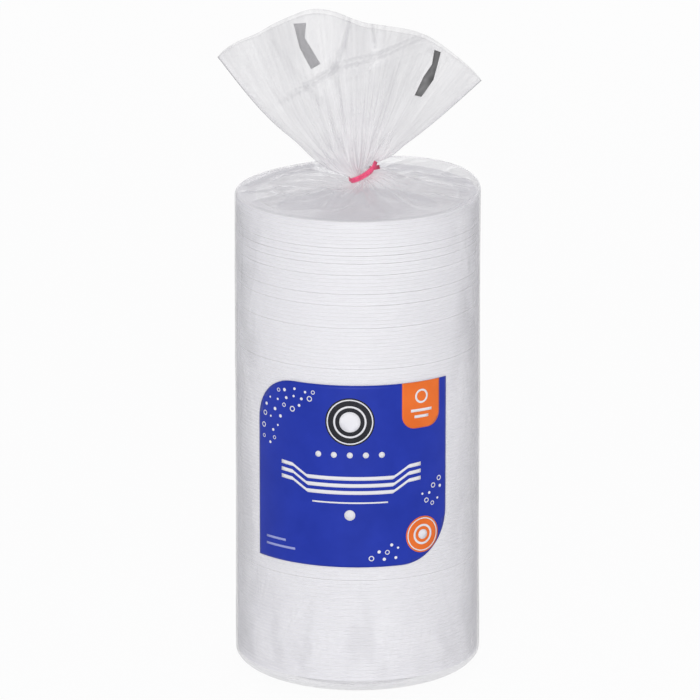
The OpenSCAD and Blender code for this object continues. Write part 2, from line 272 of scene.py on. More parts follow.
def top_ring(s, a):
    """Over the top plate, from the shoulder at s = 0 to the foot of the neck at s = 1."""
    gather = float(ease(s, 0.7, 1))
    tilt = NECK_TILT * gather
    plain = SHOULDER_R + (NECK_R - SHOULDER_R) * s
    r = plain - (NECK_R - star_r(a)) * gather
    start_z = SHOULDER_Z + SHOULDER_ROUND + puff(a)
    end_z = NECK_Z - NECK_UP
    z = start_z + (end_z - start_z) * s**1.6
    z = z - PLEAT_DEPTH * valley(a + 0.05 * np.sin(3 * a + 1)) * s**3 * (1 - gather)
    z = z + 1.0 * np.sin(5 * a + 2) * math.sin(math.pi * s) ** 2
    x = r * np.cos(a) * math.cos(tilt) + (NECK_OFFSET + NECK_OUT) * s
    y = r * np.sin(a)
    for line, height, width in DOME_FOLDS + RANDOM_DOME_FOLDS:
        z = z + height * (1 - gather) * float(ease(s, 0, 0.12)) * line_ridge(x, y, line, width)
    return stack(x, y, z + r * np.cos(a) * math.sin(tilt))


def ray_len(s):
    """Length of the tail's ray, from the right edge at s = 0 to the left edge at s = 1."""
    short = 1.02 - 0.02 * ease(s, 0, 0.2)
    return TAIL_LEN * (short + 0.13 * ease(s, 0.48, 0.7) + 0.09 * ease(s, 0.85, 1))


def wave(s, q):
    """Waves that both layers of the tail share, towards the back."""
    slow = 0.7 * np.sin(math.radians(504) * s + math.radians(30))
    quick = 0.45 * q * np.sin(math.radians(1116) * s + math.radians(160))
    return TAIL_WAVE * q * (slow + quick)


# Folds of the tail, as lines of (x, z) with a height and a width. The height is towards the
# front on the front layer, and below 0 in a valley.
TAIL_FOLDS = [
    ([(-60.0, 358.0), (-34.6, 374.1), (-14.7, 386.8)], -1.2, 2.2),
    ([(-13.0, 383.5), (12.8, 391.5), (44.0, 400.5)], 0.5, 2.2),
    ([(-14.7, 388.4), (12.8, 396.4), (42.0, 407.0)], -0.7, 2.0),
    ([(-4.0, 421.0), (-8.0, 404.0), (-14.7, 387.0)], -1.2, 2.8),
    ([(-14.7, 387.0), (-10.5, 364.0), (-7.4, 340.0)], -1.2, 2.8),
    ([(9.0, 416.0), (10.5, 404.0)], -0.5, 2.0),
    ([(-66.0, 384.0), (-50.0, 366.0), (-22.0, 334.0)], -0.9, 3.4),
    ([(-52.0, 402.0), (-34.0, 378.0), (-24.0, 366.0)], -0.6, 2.6),
    ([(52.0, 394.0), (30.0, 366.0), (8.0, 334.0)], 0.6, 2.8),
    ([(22.0, 391.0), (14.0, 366.0), (4.0, 338.0)], 0.5, 2.4),
    ([(44.0, 400.0), (56.0, 392.0), (66.0, 389.0)], -0.6, 2.4),
]


def tail_ring(q, a):
    """From the head of the neck at q = 0 to the mouth at q = 1."""
    flat = float(ease(q, 0, 0.3))
    tilt = NECK_TILT * (1 - flat)
    bow = math.sin(math.pi * q**0.6)
    s = np.where(a <= math.pi, a / math.pi, 2 - a / math.pi)
    side = np.where(a <= math.pi, 1.0, -1.0)
    across = np.abs(np.sin(a))
    ray = TAIL_RIGHT + (TAIL_LEFT - TAIL_RIGHT) * s
    reach = q * ray_len(s)
    star = star_r(a) * (1 - flat)
    swell = MOUTH_GAP / 2 * (1 + 0.4 * math.sin(math.pi * q))
    half = swell * across**0.6
    pleat = (1 - q) ** 2.2 * 0.4 * PLEAT_DEPTH * (valley(a) - 0.5) * across
    fine = np.sin(54 * a + 3 * q) + 0.6 * np.sin(87 * a + 2 - 4 * q) + 0.8 * np.sin(33 * a)
    fine = fine * across * (0.1 * (1 - q) ** 1.5 + 0.025)
    bowed = bow * np.cos(a) * np.where(np.cos(a) > 0, BOW_RIGHT, BOW_LEFT)
    x = star * np.cos(a) * math.cos(tilt) + reach * np.cos(ray) + bowed
    y = star * np.sin(a) + flat * (side * (half - pleat) + wave(s, q) + fine)
    z = reach * np.sin(ray)
    x = NECK_OFFSET - NECK_OUT + x
    y = y + z * math.tan(TAIL_LEAN) * q
    z = NECK_Z + NECK_UP + z + star * np.cos(a) * math.sin(tilt)
    for line, height, width in TAIL_FOLDS:
        y = y + side * height * flat * across * line_ridge(x, z, line, width)
    return stack(x, y, z)


def film_rings(a):
    """All rings from the middle of the foot to the mouth."""
    rings = [stack(r * np.cos(a), r * np.sin(a), 0 * a) for r in (16, 40)]
    rings += [foot_ring(k, a) for k in np.linspace(0, 1, 9)]
    rings += [wall_ring(z, a) for z in np.linspace(PLATE_H, SHOULDER_Z, 66)[1:-1]]
    rings += [shoulder_ring(k, a) for k in np.linspace(0, 1, 4)]
    rings += [top_ring(s, a) for s in np.linspace(0, 1, 34)[1:]]
    rings += [tail_ring(q, a) for q in np.linspace(0, 1, 58)]
    return np.array(rings)


def grid_normals(rings):
    """Unit normals of the film's outside, from its neighbours along and round."""
    along = np.gradient(rings, axis=0)
    around = np.roll(rings, -1, axis=1) - np.roll(rings, 1, axis=1)
    normal = np.cross(around, along)
    return normal / np.maximum(np.linalg.norm(normal, axis=-1, keepdims=True), 1e-9)


def new_mesh(name, points, faces):
    """A mesh object from points in millimetres."""
    mesh = bpy.data.meshes.new(name)
    mesh.from_pydata([tuple(p) for p in np.asarray(points) * MM], [], faces)
    mesh.validate()
    piece = bpy.data.objects.new(name, mesh)
    bpy.context.scene.collection.objects.link(piece)
    return piece


def smooth(piece):
    piece.data.polygons.foreach_set("use_smooth", [True] * len(piece.data.polygons))
    piece.data.update()


def crease_share(rings):
    """How sharply the film bends at each point: up to 1 on a ridge, down to -1 in a valley."""
    normal = grid_normals(rings)
    total = np.zeros(rings.shape[:2])
    before = np.concatenate([rings[:1], rings[:-1]])
    after = np.concatenate([rings[1:], rings[-1:]])
    for back, ahead in ((np.roll(rings, 1, 1), np.roll(rings, -1, 1)), (before, after)):
        bend = ((back + ahead - 2 * rings) * normal).sum(-1)
        step = np.maximum(np.linalg.norm(ahead - back, axis=-1) / 2, 0.8)
        total -= bend / step**2
    share = np.clip(total / 0.3, -1, 1)
    height = rings[:, :, 2]
    calm = np.where((height > SHOULDER_Z - 1) & (height < RIM_TOP + 0.8), 0.0, 1.0)
    gathered = np.exp(-(((height - NECK_Z) / 14) ** 2))
    return share * calm * (1 - 0.6 * gathered)


def set_share(film, name, values):
    """A share for each point of the film's outside, repeated on its inside."""
    layer = film.data.attributes.new(name, "FLOAT", "POINT")
    both = np.concatenate([values, values, [0, 0]])
    layer.data.foreach_set("value", both.astype(np.float32))


def lay_shares(film, outside):
    """The shares that the film's material reads: where the film is creased, loose over the top
    or in the tail, upright on the wall, gathered near the neck, and crumpled at the sides and
    low, where its colour gets painted shade and painted highlights."""
    x, y, z = outside.reshape(-1, 3).T
    upright = ease(z, 5, 22) * (1 - ease(z, SHOULDER_Z - 4, SHOULDER_Z))
    around = np.abs(np.arctan2(x, -y))
    # Crumpled film at the sides, back and foot: denser there, with painted shade and painted
    # highlights in its colour.
    worn = np.maximum(ease(around, 0.7, 1.25), 0.45 * (1 - ease(z, 35, 85)))
    away = (x - NECK_OFFSET) ** 2 + y**2 + (0.55 * (z - NECK_Z)) ** 2
    set_share(film, "crease", crease_share(outside).ravel())
    set_share(film, "loose", ease(z, SHOULDER_Z - 0.5, SHOULDER_Z + 1.5))
    set_share(film, "tail", ease(z, NECK_Z - 2, NECK_Z + 6))
    set_share(film, "upright", upright)
    set_share(film, "worn", worn * upright)
    set_share(film, "gathered", np.exp(-away / 24**2))


def make_film():
    """The bag: an outside and an inside wall, joined at the mouth and closed at the foot."""
    a = np.arange(AROUND) * 2 * math.pi / AROUND
    outside = film_rings(a)
    inside = outside - grid_normals(outside) * SKIN
    rows, n = outside.shape[:2]
    points = np.concatenate([outside.reshape(-1, 3), inside.reshape(-1, 3)])
    points = np.concatenate([points, [[0, 0, 0], [0, 0, SKIN]]])
    step = rows * n
    faces = []
    for i in range(rows - 1):
        for j in range(n):
            k = (j + 1) % n
            faces.append((i * n + j, i * n + k, (i + 1) * n + k, (i + 1) * n + j))
            p = step + i * n
            faces.append((p + j, p + n + j, p + n + k, p + k))
    top = (rows - 1) * n
    for j in range(n):
        k = (j + 1) % n
        faces.append((top + j, top + k, step + top + k, step + top + j))
        faces.append((2 * step, k, j))
        faces.append((2 * step + 1, step + j, step + k))
    film = new_mesh("bag_film", points, faces)
    smooth(film)
    lay_shares(film, outside)
    lengths = np.linalg.norm(np.diff(outside, axis=0), axis=-1).mean(1)
    travel = np.concatenate([[0], np.cumsum(lengths)])
    lay_uv(film, rows, n, travel)
    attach(film, "root")
    film.visible_shadow = False
    film.visible_diffuse = False
    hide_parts("bag")
    return film


def lay_uv(film, rows, n, travel):
    """UV in metres: round the bag, and along the film from the middle of the foot."""
    mesh = film.data
    index = np.zeros(len(mesh.loops), np.int32)
    mesh.loops.foreach_get("vertex_index", index)
    step = rows * n
    local = np.where(index >= 2 * step, 0, index % step)
    u = (local % n) / n * 2 * math.pi * BAG_R * MM
    v = travel[local // n] * MM
    start = np.zeros(len(mesh.polygons), np.int32)
    total = np.zeros(len(mesh.polygons), np.int32)
    mesh.polygons.foreach_get("loop_start", start)
    mesh.polygons.foreach_get("loop_total", total)
    face = np.repeat(np.arange(len(start)), total)
    high = np.zeros(len(start))
    np.maximum.at(high, face, u)
    whole = 2 * math.pi * BAG_R * MM
    u = np.where(high[face] - u > whole / 2, u + whole, u)
    layer = mesh.uv_layers.new(name="film_uv")
    layer.data.foreach_set("uv", np.stack([u, v], 1).astype(np.float32).ravel())


# Flat outlines laid on the wall


def on_wall(x, y, proud):
    """Points of the label's plan, x to the right and y up from its middle, on the film."""
    a = np.asarray(x) / BAG_R - LABEL_TURN - math.pi / 2
    z = np.asarray(y) + LABEL_FOOT + LABEL_H / 2
    r = BAG_R + wall_swell(a, z) + proud
    return stack(r * np.cos(a), r * np.sin(a), z)


def rounded(a, p, b, r, n):
    """Points of an arc of radius r that rounds the corner p between a and b."""
    a, p, b = (np.array(v, float) for v in (a, p, b))
    u = (a - p) / np.linalg.norm(a - p)
    v = (b - p) / np.linalg.norm(b - p)
    half = math.acos(float(np.clip(u @ v, -1, 1))) / 2
    centre = p + (u + v) / np.linalg.norm(u + v) * r / math.sin(half)
    start = p + u * r / math.tan(half) - centre
    end = p + v * r / math.tan(half) - centre
    turn = math.pi - 2 * half
    side = 1 if start[0] * end[1] - start[1] * end[0] > 0 else -1
    points = []
    for k in range(n + 1):
        w = side * turn * k / n
        x = start[0] * math.cos(w) - start[1] * math.sin(w)
        y = start[0] * math.sin(w) + start[1] * math.cos(w)
        points.append((centre[0] + x, centre[1] + y))
    return points


def disc(x, y, r, n=48):
    return [(x + r * math.cos(2 * math.pi * k / n), y + r * math.sin(2 * math.pi * k / n))
            for k in range(n)]


def bar(x, y, w, h):
    return [(x - w / 2, y - h / 2), (x + w / 2, y - h / 2),
            (x + w / 2, y + h / 2), (x - w / 2, y + h / 2)]


def label_outline():
    x = LABEL_W / 2
    y = LABEL_H / 2
    return (rounded((-x, -y), (-x, y), (x, y), LABEL_CORNER, 16) + [(x, y)]
            + rounded((x, y), (x, -y), (-x, -y), LABEL_SWEEP, 18) + [(-x, -y)])


def tab_outline():
    right = LABEL_W / 2 - 6
    left = right - TAB_W
    top = LABEL_H / 2
    low = top - TAB_H
    corner = TAB_W / 3
    return ([(right, top), (left, top)]
            + rounded((left, top), (left, low), (right, low), corner, 10)
            + rounded((left, low), (right, low), (right, top), corner, 10))


def plate_mark(y):
    """The side of a shallow plate drawn as a line."""
    w = PICTO_W / 2
    deep = 7
    thick = 2.4
    return [(-w, y), (8 - w, y - 0.8), (18 - w, y - deep), (w - 18, y - deep), (w - 8, y - 0.8),
            (w, y), (w, y - thick), (w - 9, y - 0.8 - thick), (w - 19, y - deep - thick),
            (19 - w, y - deep - thick), (9 - w, y - 0.8 - thick), (-w, y - thick)]


def split_edges(outline, longest):
    """The outline's points with more between them where they are far apart."""
    points = []
    for (x0, y0), (x1, y1) in zip(outline, outline[1:] + outline[:1]):
        n = max(1, math.ceil(math.hypot(x1 - x0, y1 - y0) / longest))
        points += [(x0 + (x1 - x0) * k / n, y0 + (y1 - y0) * k / n) for k in range(n)]
    return points


def inside_outline(x, y, outline):
    hit = False
    for (x0, y0), (x1, y1) in zip(outline, outline[1:] + outline[:1]):
        if (y0 > y) != (y1 > y) and x < (x1 - x0) * (y - y0) / (y1 - y0) + x0:
            hit = not hit
    return hit


def edge_gap(x, y, outline):
    return min(math.hypot(x - px, y - py) for px, py in outline)


def patch_parts(outline, holes=(), grid=3.0):
    """Triangles of a flat outline, fine enough to bend round the bag, with its border edges."""
    loops = [split_edges(outline, grid)] + [split_edges(h, grid) for h in holes]
    points = []
    edges = []
    for loop in loops:
        first = len(points)
        points += loop
        edges += [(first + k, first + (k + 1) % len(loop)) for k in range(len(loop))]
    xs = [p[0] for p in outline]
    ys = [p[1] for p in outline]
    rim = list(points)
    x = min(xs) + grid / 2
    while x < max(xs):
        y = min(ys) + grid / 2
        while y < max(ys):
            clear = inside_outline(x, y, loops[0]) and edge_gap(x, y, rim) > grid * 0.45
            if clear and not any(inside_outline(x, y, h) for h in loops[1:]):
                points.append((x, y))
            y += grid
        x += grid
    made = delaunay_2d_cdt([Vector(p) for p in points], edges, [], 1, 1e-5)
    verts = [(v.x, v.y) for v in made[0]]
    faces = []
    for f in made[2]:
        cx = sum(verts[i][0] for i in f) / len(f)
        cy = sum(verts[i][1] for i in f) / len(f)
        if inside_outline(cx, cy, loops[0]) and not any(
            inside_outline(cx, cy, h) for h in loops[1:]
        ):
            area = sum(verts[f[k]][0] * verts[f[(k + 1) % 3]][1]
                       - verts[f[(k + 1) % 3]][0] * verts[f[k]][1] for k in range(3))
            faces.append(tuple(f) if area > 0 else tuple(reversed(f)))
    return verts, faces


def laid_piece(name, shapes, lay, material, replaced=(), place=on_wall):
    """One piece of thin printed shapes on the film. A shape is an outline or (outline, holes),
    and place turns the points of its plan into points on the film."""
    proud, thick = lay
    points = []
    faces = []
    for shape in shapes:
        outline, holes = shape if isinstance(shape, tuple) else (shape, ())
        verts, tris = patch_parts(outline, holes)
        flat = np.array(verts)
        first = len(points)
        n = len(verts)
        points += list(place(flat[:, 0], flat[:, 1], proud + thick))
        points += list(place(flat[:, 0], flat[:, 1], proud))
        seen = {}
        for f in tris:
            faces.append(tuple(first + i for i in f))
            faces.append(tuple(first + n + i for i in reversed(f)))
            for i, j in zip(f, f[1:] + f[:1]):
                seen[(i, j)] = True
        for i, j in seen:
            if (j, i) not in seen:
                faces.append((first + j, first + i, first + n + i, first + n + j))
    piece = new_mesh(name, points, faces)
    smooth(piece)
    piece.data.materials.append(material)
    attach(piece, "root")
    if replaced:
        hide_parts(*replaced)
    return piece


# Materials


def new_material(name):
    """An empty node material with its Principled shader and output."""
    material = bpy.data.materials.new(name)
    material.use_nodes = True
    nodes = material.node_tree.nodes
    nodes.clear()
    shader = nodes.new("ShaderNodeBsdfPrincipled")
    out = nodes.new("ShaderNodeOutputMaterial")
    material.node_tree.links.new(shader.outputs[0], out.inputs[0])
    return material, shader


def add(material, kind, **values):
    """A new node with its settings, and its sockets' values by name."""
    node = material.node_tree.nodes.new(kind)
    for key, value in values.items():
        if key in node.inputs:
            node.inputs[key].default_value = value
        else:
            setattr(node, key, value)
    return node


def join(material, source, target):
    material.node_tree.links.new(source, target)


def noise(material, vector, scale, detail=3.0, roughness=0.5):
    node = add(material, "ShaderNodeTexNoise", Scale=scale, Detail=detail, Roughness=roughness)
    join(material, vector, node.inputs["Vector"])
    return node.outputs["Fac"]


def stretched(material, vector, scale):
    node = add(material, "ShaderNodeMapping")
    node.inputs["Scale"].default_value = scale
    join(material, vector, node.inputs["Vector"])
    return node.outputs[0]


def ranged(material, value, low, high, to_low, to_high):
    """A value moved from one range to another, and held inside it."""
    node = add(material, "ShaderNodeMapRange")
    node.inputs["From Min"].default_value = low
    node.inputs["From Max"].default_value = high
    node.inputs["To Min"].default_value = to_low
    node.inputs["To Max"].default_value = to_high
    join(material, value, node.inputs["Value"])
    return node.outputs[0]


def combined(material, operation, first, second):
    node = add(material, "ShaderNodeMath", operation=operation)
    join(material, first, node.inputs[0])
    join(material, second, node.inputs[1])
    return node.outputs[0]


def plus(material, *values):
    """The sum of several values."""
    total = values[0]
    for value in values[1:]:
        total = combined(material, "ADD", total, value)
    return total


def times(material, first, second):
    return combined(material, "MULTIPLY", first, second)


def attribute(material, name):
    """A share that the mesh holds for each of its points."""
    return add(material, "ShaderNodeAttribute", attribute_name=name).outputs["Fac"]


def part_of(material, vector, axis):
    node = add(material, "ShaderNodeSeparateXYZ")
    join(material, vector, node.inputs[0])
    return node.outputs[axis]


def blend_colours(material, share, low, high):
    """A colour between two fixed ones."""
    node = add(material, "ShaderNodeMix", data_type="RGBA")
    node.inputs[6].default_value = (*low, 1)
    node.inputs[7].default_value = (*high, 1)
    join(material, share, node.inputs[0])
    return node.outputs[2]


def moved(material, share, colour, target):
    """A colour moved by a share towards a fixed one."""
    node = add(material, "ShaderNodeMix", data_type="RGBA")
    node.inputs[7].default_value = (*target, 1)
    join(material, share, node.inputs[0])
    join(material, colour, node.inputs[6])
    return node.outputs[2]


def bump(material, shader, height, strength, distance):
    node = add(material, "ShaderNodeBump", Strength=strength, Distance=distance)
    join(material, height, node.inputs["Height"])
    join(material, node.outputs[0], shader.inputs["Normal"])


def foam_material():
    """Pressed white foam: a satin skin with the faint mottle of its cells. A little of the light
    goes through it.
    The thin rounded edges get a painted highlight, colour moved towards white, so that the
    grooves between plates stay pale."""
    material, shader = new_material("white_foam")
    place = add(material, "ShaderNodeTexCoord").outputs["Object"]
    cells = noise(material, place, 900, 2)
    cloud = noise(material, place, 40, 3)
    plain = blend_colours(material, ranged(material, cloud, 0.3, 0.7, 0, 1),
                          (0.855, 0.85, 0.87), (0.88, 0.88, 0.895))
    # Painted highlight: the facets of each plate's rounded edges are coloured towards white,
    # which keeps the grooves between plates pale.
    rise = part_of(material, add(material, "ShaderNodeNewGeometry").outputs["True Normal"], "Z")
    tilt = times(material, rise, rise)
    painted_edge_highlight = times(material, ranged(material, tilt, 0.01, 0.06, 0, 1),
                         ranged(material, tilt, 0.94, 0.97, 1, 0))
    join(material, moved(material, painted_edge_highlight, plain, (1, 1, 1)), shader.inputs["Base Color"])
    join(material, ranged(material, cells, 0.3, 0.7, 0.45, 0.6), shader.inputs["Roughness"])
    shader.inputs["Specular IOR Level"].default_value = 0.25
    shader.inputs["Subsurface Weight"].default_value = 0.5
    shader.inputs["Subsurface Radius"].default_value = (1, 1, 1)
    shader.inputs["Subsurface Scale"].default_value = 0.002
    bump(material, shader, cells, 0.2, 0.0002)
    return material


def film_material():
    """Thin clear film: a light haze where it lies on the foam, clearer where it is loose and
    there coloured grey as painted shade, a painted highlight on its ridges, painted shade in its
    valleys, whitish where it is gathered, and painted shade and highlights in speckles where it
    is crumpled.
    Seen edge on it is denser where it is loose, and on the wall a painted shade darkens it."""
    material, shader = new_material("clear_film")
    uv = add(material, "ShaderNodeUVMap", uv_map="film_uv").outputs[0]
    place = add(material, "ShaderNodeTexCoord").outputs["Object"]
    crease = attribute(material, "crease")
    loose = attribute(material, "loose")
    tail = attribute(material, "tail")
    upright = attribute(material, "upright")
    gathered = attribute(material, "gathered")
    worn = attribute(material, "worn")
    crumple = noise(material, stretched(material, place, (62, 62, 24)), 1, 4, 0.6)
    streaks = noise(material, stretched(material, uv, (260, 30, 1)), 1, 3)
    cloud = noise(material, stretched(material, uv, (40, 26, 1)), 1, 3)
    patch = noise(material, stretched(material, uv, (14, 9, 1)), 1, 1)
    ridge = ranged(material, crease, 0.08, 1, 0, 1)
    dip = ranged(material, crease, -0.08, -1, 0, 1)
    on_foam = ranged(material, loose, 0, 1, 1, 0)
    edge = add(material, "ShaderNodeLayerWeight", Blend=0.5).outputs["Facing"]

    over_top = combined(material, "SUBTRACT", loose, tail)
    strength = times(material, ranged(material, over_top, 0, 1, 0.14, 0.4),
                     ranged(material, tail, 0, 1, 1, 0.8))
    uneven = plus(material, ranged(material, streaks, 0.4, 0.7, -0.02, 0.06),
                  ranged(material, cloud, 0.35, 0.7, -0.02, 0.05))
    alpha = plus(
        material,
        times(material, ranged(material, patch, 0.35, 0.65, 0.17, 0.23), on_foam),
        ranged(material, loose, 0, 1, 0, 0.16),
        times(material, ranged(material, edge, 0.6, 1, 0, 0.3), loose),
        times(material, ridge, strength),
        ranged(material, dip, 0, 1, 0, 0.2),
        times(material, uneven, tail),
        ranged(material, gathered, 0, 1, 0, 0.22),
        times(material, ranged(material, crumple, 0.44, 0.36, 0, 0.1), worn),
    )
    join(material, alpha, shader.inputs["Alpha"])

    # Painted shade: the film off the foam, over the top plate and in the tail, is coloured grey.
    colour = blend_colours(material, loose, (0.87, 0.865, 0.895), (0.6, 0.595, 0.61))
    for share, second_share, target in (
        # Painted highlight on the ridges, weaker in the tail.
        (ranged(material, tail, 0, 1, 1, 0.3), ridge, (0.96, 0.96, 0.97)),
        # Painted shade in the valleys, weaker where the film is loose.
        (ranged(material, loose, 0, 1, 1, 0.7), dip, (0.48, 0.48, 0.5)),
        # Painted shade and painted highlights in speckles where the film is crumpled.
        (ranged(material, crumple, 0.51, 0.59, 0, 0.6), worn, (0.3, 0.3, 0.32)),
        (ranged(material, crumple, 0.48, 0.38, 0, 1), worn, (1, 1, 1)),
        (ranged(material, streaks, 0.3, 0.6, 0.5, 1), gathered, (0.9, 0.88, 0.89)),
        # Painted shade: on the wall the film is darkened where it is seen edge on.
        (ranged(material, edge, 0.45, 0.84, 0, 1), upright, (0.28, 0.28, 0.3)),
    ):
        colour = moved(material, times(material, share, second_share), colour, target)
    join(material, colour, shader.inputs["Base Color"])
    join(material, ranged(material, cloud, 0.3, 0.7, 0.14, 0.3), shader.inputs["Roughness"])
    shader.inputs["Specular IOR Level"].default_value = 0.6
    bump(material, shader, streaks, 0.15, 0.0003)
    return material


def ink_material(name, low, high, roughness):
    """Glossy ink, a little uneven."""
    material, shader = new_material(name)
    place = add(material, "ShaderNodeTexCoord").outputs["Object"]
    cloud = noise(material, place, 60, 3)
    colour = blend_colours(material, ranged(material, cloud, 0.3, 0.7, 0, 1), low, high)
    join(material, colour, shader.inputs["Base Color"])
    grain = noise(material, place, 500, 2)
    join(material, ranged(material, grain, 0.3, 0.7, roughness, roughness + 0.12),
         shader.inputs["Roughness"])
    shader.inputs["Specular IOR Level"].default_value = 0.2
    bump(material, shader, cloud, 0.15, 0.0006)
    return material


def tie_material():
    """Pink-red plastic ribbon, with painted shade darker towards its two twisted ends."""
    material, shader = new_material("red_ribbon")
    place = add(material, "ShaderNodeTexCoord").outputs["Object"]
    cloud = noise(material, place, 220, 3)
    colour = blend_colours(material, ranged(material, cloud, 0.35, 0.65, 0, 1),
                           (0.72, 0.055, 0.15), (0.97, 0.12, 0.27))
    # Painted shade: the colour is darkened towards the two twisted ends, where the ribbon folds.
    x = part_of(material, place, "X")
    ends = plus(material, ranged(material, x, -0.0045, -0.0085, 0, 1),
                ranged(material, x, 0.009, 0.013, 0, 1))
    dark = times(material, ends, ranged(material, cloud, 0.4, 0.6, 0.4, 0.9))
    join(material, moved(material, dark, colour, (0.3, 0.02, 0.05)), shader.inputs["Base Color"])
    join(material, ranged(material, cloud, 0.3, 0.7, 0.28, 0.5), shader.inputs["Roughness"])
    bump(material, shader, cloud, 0.3, 0.0004)
    return material


# The label's print


def confetti_patches():
    """The three fields of the label that hold the scattered rings and dots, in its plan."""
    x = LABEL_CORNER - LABEL_W / 2
    y = LABEL_H / 2 - LABEL_CORNER
    outer = [(x + 24.5 * math.cos(w), y + 24.5 * math.sin(w))
             for w in np.radians(np.linspace(90, 180, 10))]
    inner = [(x + 11 * math.cos(w), y + 11 * math.sin(w))
             for w in np.radians(np.linspace(180, 90, 8))]
    corner = [(-21, 54.5)] + outer + [(-61.5, 13), (-52, 18)] + inner + [(-25, 44)]
    right = [(61, -3), (61, -22), (53, -25), (47, -14)]
    low = [(34, -54.5), (11, -55.5), (17, -46), (31, -44)]
    return [corner, right, low]


def link_nodes(tree, source, output, target, socket):
    tree.links.new(source.outputs[output], target.inputs[socket])


def maths(tree, operation, first, second=None):
    """A Math node on two values, where each is a socket or a number."""
    node = tree.nodes.new("ShaderNodeMath")
    node.operation = operation
    for slot, value in enumerate((first, second)):
        if value is None:
            continue
        if isinstance(value, (int, float)):
            node.inputs[slot].default_value = value
        else:
            tree.links.new(value, node.inputs[slot])
    return node.outputs[0]


def confetti_tree():
    """Scatters small rings and dots over flat fields and lays them on the label."""
    tree = bpy.data.node_groups.new("confetti_on_label", "GeometryNodeTree")
    face = tree.interface
    face.new_socket("Fields", in_out="INPUT", socket_type="NodeSocketGeometry")
    for name, kind in (("Label", "Object"), ("Ink", "Material"), ("Spacing", "Float"),
                       ("Dot radius", "Float"), ("Thickness", "Float"), ("Proud", "Float"),
                       ("Wall radius", "Float"), ("Label turn", "Float"),
                       ("Label middle", "Float"), ("Seed", "Int")):
        face.new_socket(name, in_out="INPUT", socket_type="NodeSocket" + kind)
    face.new_socket("Confetti", in_out="OUTPUT", socket_type="NodeSocketGeometry")
    nodes = tree.nodes
    given = nodes.new("NodeGroupInput")
    spread = nodes.new("GeometryNodeDistributePointsOnFaces")
    spread.distribute_method = "POISSON"
    spread.inputs["Density Max"].default_value = 4e5
    link_nodes(tree, given, "Fields", spread, "Mesh")
    link_nodes(tree, given, "Spacing", spread, "Distance Min")
    link_nodes(tree, given, "Seed", spread, "Seed")
    dot = nodes.new("GeometryNodeMeshCylinder")
    dot.inputs["Vertices"].default_value = 18
    link_nodes(tree, given, "Dot radius", dot, "Radius")
    link_nodes(tree, given, "Thickness", dot, "Depth")
    circle = nodes.new("GeometryNodeCurvePrimitiveCircle")
    circle.inputs["Resolution"].default_value = 20
    wide = maths(tree, "MULTIPLY", given.outputs["Dot radius"], 1.45)
    tree.links.new(wide, circle.inputs["Radius"])
    band = nodes.new("GeometryNodeCurvePrimitiveQuadrilateral")
    band_width = maths(tree, "MULTIPLY", given.outputs["Dot radius"], 0.6)
    tree.links.new(band_width, band.inputs["Width"])
    link_nodes(tree, given, "Thickness", band, "Height")
    ring = nodes.new("GeometryNodeCurveToMesh")
    link_nodes(tree, circle, "Curve", ring, "Curve")
    link_nodes(tree, band, "Curve", ring, "Profile Curve")
    both = nodes.new("GeometryNodeJoinGeometry")
    for source in (dot, ring):
        single = nodes.new("GeometryNodeGeometryToInstance")
        link_nodes(tree, source, "Mesh", single, "Geometry")
        link_nodes(tree, single, "Instances", both, "Geometry")
    which = nodes.new("FunctionNodeRandomValue")
    which.data_type = "INT"
    which.inputs[4].default_value = 0
    which.inputs[5].default_value = 1
    link_nodes(tree, given, "Seed", which, "Seed")
    size = nodes.new("FunctionNodeRandomValue")
    size.data_type = "FLOAT"
    size.inputs[2].default_value = 0.65
    size.inputs[3].default_value = 1.15
    link_nodes(tree, given, "Seed", size, "Seed")
    scale = nodes.new("ShaderNodeCombineXYZ")
    scale.inputs["Z"].default_value = 1
    tree.links.new(size.outputs[1], scale.inputs["X"])
    tree.links.new(size.outputs[1], scale.inputs["Y"])
    put = nodes.new("GeometryNodeInstanceOnPoints")
    put.inputs["Pick Instance"].default_value = True
    link_nodes(tree, spread, "Points", put, "Points")
    link_nodes(tree, both, "Geometry", put, "Instance")
    tree.links.new(which.outputs[2], put.inputs["Instance Index"])
    tree.links.new(scale.outputs[0], put.inputs["Scale"])
    real = nodes.new("GeometryNodeRealizeInstances")
    link_nodes(tree, put, "Instances", real, "Geometry")
    lay_on_label(tree, given, real)
    return tree


